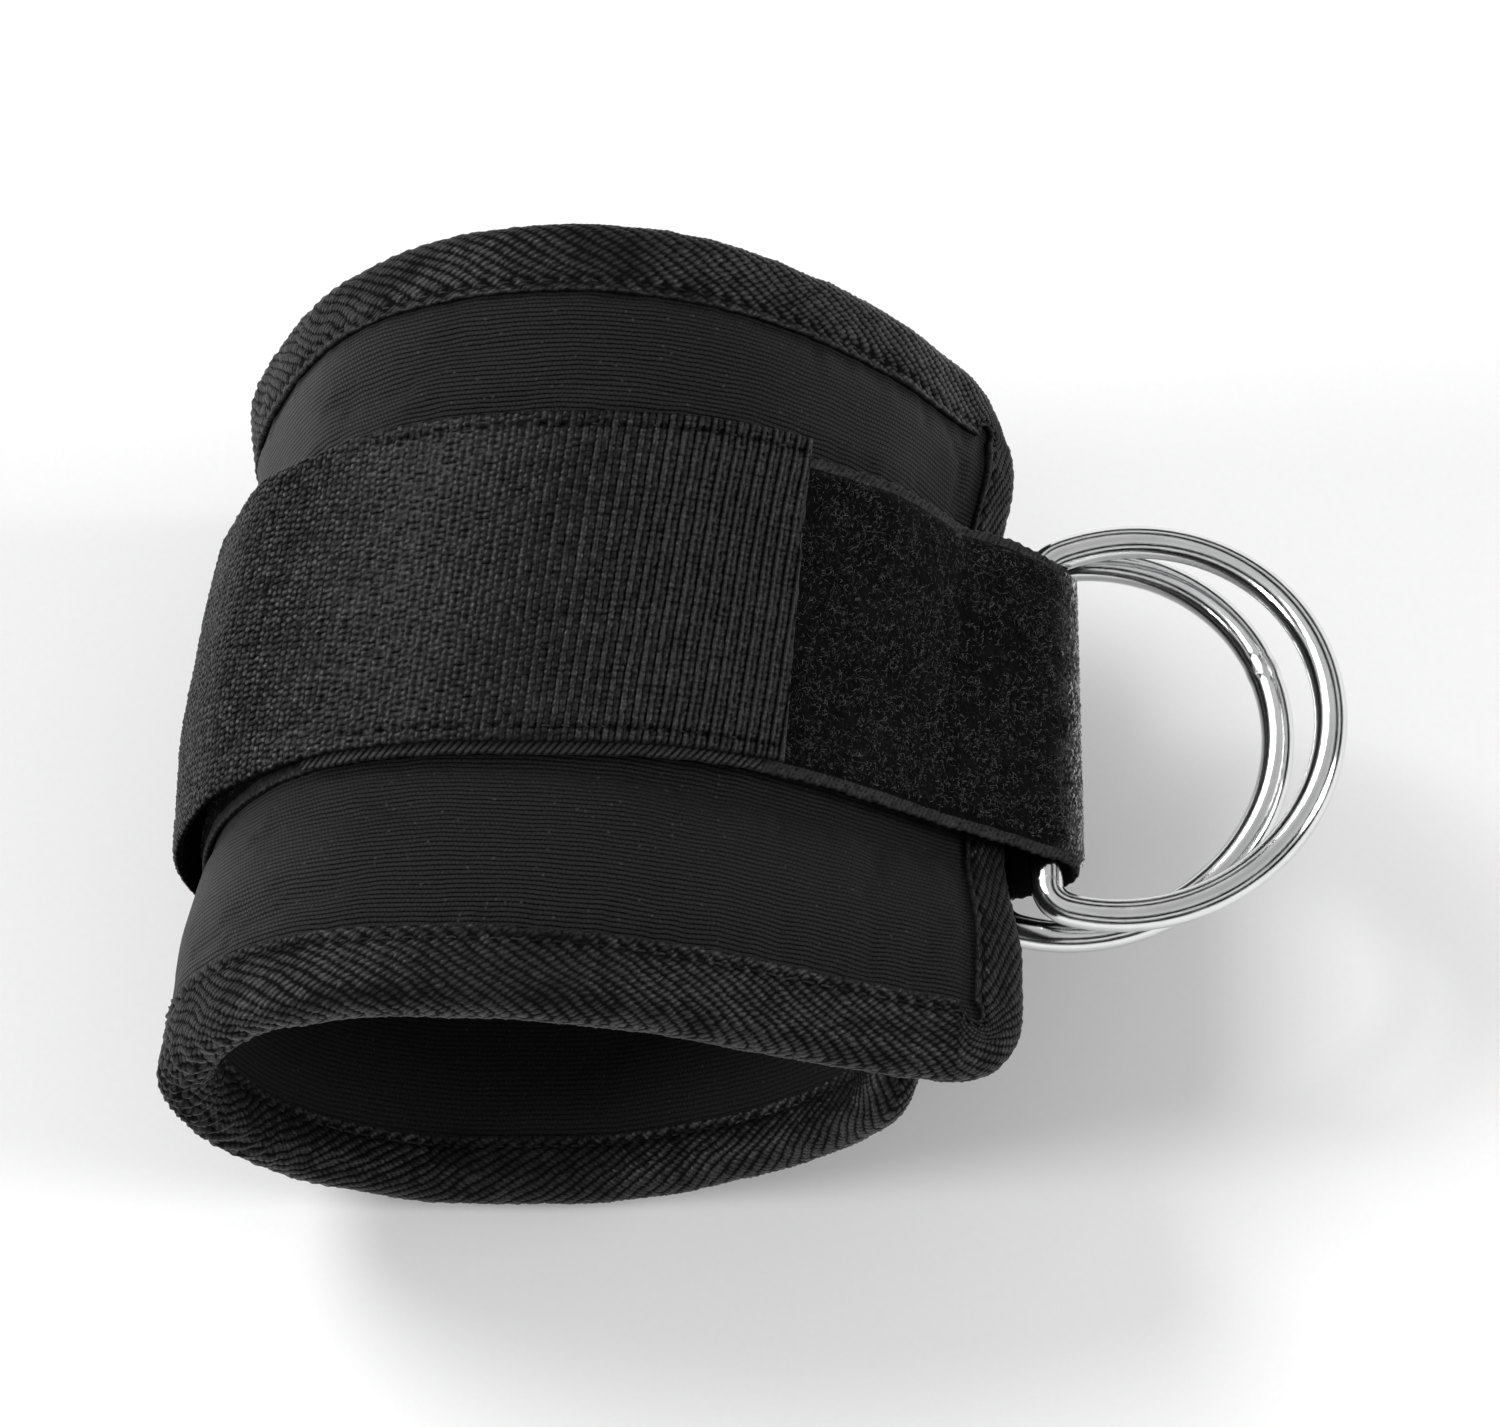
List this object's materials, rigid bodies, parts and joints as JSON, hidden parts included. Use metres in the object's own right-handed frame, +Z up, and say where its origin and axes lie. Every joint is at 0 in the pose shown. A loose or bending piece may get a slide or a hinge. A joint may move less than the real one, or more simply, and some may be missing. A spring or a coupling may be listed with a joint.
{
  "type": "padded ankle cuff with double D-rings",
  "caption": "Padded black ankle cuff, bound edges, with a hook-and-loop strap that turns round a pair of metal D-rings.",
  "frame": {"origin": "centre of the flat patch of webbing under the cuff, where it rests on the floor", "axes": "the cuff lies on its side: Y along the ankle axis, -Y towards the opening in front, +X towards the D-rings, +Z up through the strap closure"},
  "size_m": [0.1773, 0.1199, 0.0996],
  "materials": {
    "foam": "closed-cell foam, dark grey",
    "face_knit": "fine black jersey knit, matt",
    "lining_knit": "black brushed jersey knit, matt",
    "binding_twill": "black twill tape, soft sheen",
    "sewing_thread": "black sewing thread",
    "loop_pile": "black loop pile with a smooth selvedge",
    "webbing": "charcoal ribbed webbing, soft sheen",
    "hook": "black moulded hook tape",
    "ring_metal": "bright nickel plate, polished"
  },
  "bodies": {
    "root": {"foam_core": "foam", "face_fabric": "face_knit", "lining_fabric": "lining_knit", "edge_binding": "binding_twill", "binding_thread_outer": "sewing_thread", "binding_thread_inner": "sewing_thread", "loop_strap": "loop_pile", "free_webbing": "webbing", "strap_end_box_stitch": "sewing_thread", "joint_box_stitch": "sewing_thread"},
    "strap_tail": {"tail_webbing": "webbing", "hook_tape": "hook", "tail_box_stitch": "sewing_thread"},
    "outer_ring": {"ring_outer": "ring_metal"},
    "inner_ring": {"ring_inner": "ring_metal"}
  },
  "joints": [
    {"name": "tail_peel", "type": "hinge", "parent": "root", "child": "strap_tail", "pos_m": [-0.03057, 0, 0.08491], "axis": [-0.1444, -0.9873, -0.0663], "range_deg": [0, 100]},
    {"name": "outer_ring_swing", "type": "hinge", "parent": "root", "child": "outer_ring", "pos_m": [0.0792, -0.00255, 0.0447], "axis": [0, -1, 0], "range_deg": [-2, 80]},
    {"name": "inner_ring_swing", "type": "hinge", "parent": "root", "child": "inner_ring", "pos_m": [0.072, -0.00255, 0.0363], "axis": [0, -1, 0], "range_deg": [-58, 1]}
  ]
}
